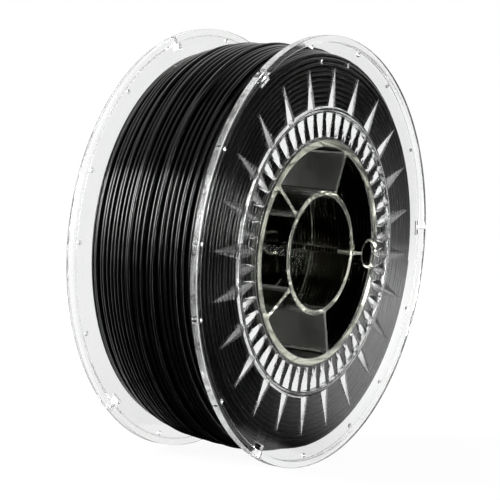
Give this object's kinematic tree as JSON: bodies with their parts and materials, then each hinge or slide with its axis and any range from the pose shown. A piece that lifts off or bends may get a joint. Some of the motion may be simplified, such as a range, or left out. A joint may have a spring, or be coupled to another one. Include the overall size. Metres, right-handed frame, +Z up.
{
  "type": "filament spool",
  "caption": "Clear plastic spool with a sunburst of ridges on its flanges, full of black 3D printing filament, with a wide spindle bore.",
  "frame": {"origin": "centre of the spool: on the axis of the spindle bore, half-way between the outer faces of the two flanges", "axes": "+Y along the bore from the pictured flange to the hidden one, +Z up as the spool stands on its rims, +X out through the drive sockets"},
  "size_m": [0.1998, 0.07, 0.1998],
  "materials": {
    "flange_plastic": "clear polystyrene, polished",
    "hub_plastic": "the same clear plastic seen edge-on, grey-green",
    "filament": "black, glossy"
  },
  "bodies": {
    "root": {"near_flange": "flange_plastic", "near_tooth_ring": "flange_plastic", "near_drum": "hub_plastic", "near_core_tube": "hub_plastic", "near_drive_socket": "hub_plastic", "near_web_1": "hub_plastic", "near_web_2": "hub_plastic", "near_web_3": "hub_plastic", "near_web_4": "hub_plastic", "near_web_5": "hub_plastic", "far_flange": "flange_plastic", "far_tooth_ring": "flange_plastic", "far_drum": "hub_plastic", "far_core_tube": "hub_plastic", "far_drive_socket": "hub_plastic", "far_web_1": "hub_plastic", "far_web_2": "hub_plastic", "far_web_3": "hub_plastic", "far_web_4": "hub_plastic", "far_web_5": "hub_plastic", "filament_core": "filament", "filament_turns": "filament"}
  },
  "joints": []
}
